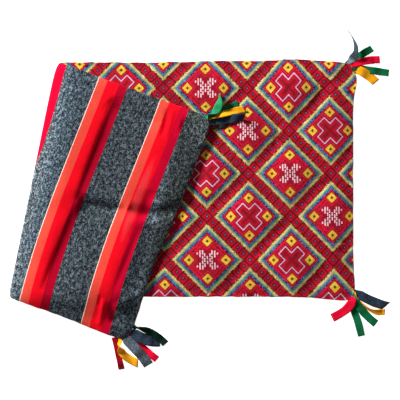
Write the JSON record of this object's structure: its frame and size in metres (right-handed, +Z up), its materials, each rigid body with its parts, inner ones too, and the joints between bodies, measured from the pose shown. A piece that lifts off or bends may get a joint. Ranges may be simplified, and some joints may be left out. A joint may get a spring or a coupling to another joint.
{
  "type": "folded straddle pillow with felt tassels",
  "caption": "Thin quilted pillow of patterned cloth with a striped wool back, folded over on itself, with felt strip tassels on its corners.",
  "frame": {"origin": "on the floor, under the middle of the box around the pillow and its tassels", "axes": "+X along the lower layer's length, from the fold to its free end; +Y across it; +Z up, out of the upper side"},
  "size_m": [0.7613, 0.6835, 0.0298],
  "materials": {
    "woven_face": "woven wool and cotton, matte",
    "wool_back": "brushed melange wool with woven bands, matte",
    "felt_strips": "cut felt in several colours, matte"
  },
  "bodies": {
    "root": {"pillow_face": "woven_face", "pillow_back": "wool_back", "tassel_lower_top": "felt_strips", "tassel_lower_bottom": "felt_strips", "tassel_flap_top": "felt_strips", "tassel_flap_bottom": "felt_strips"}
  },
  "joints": []
}
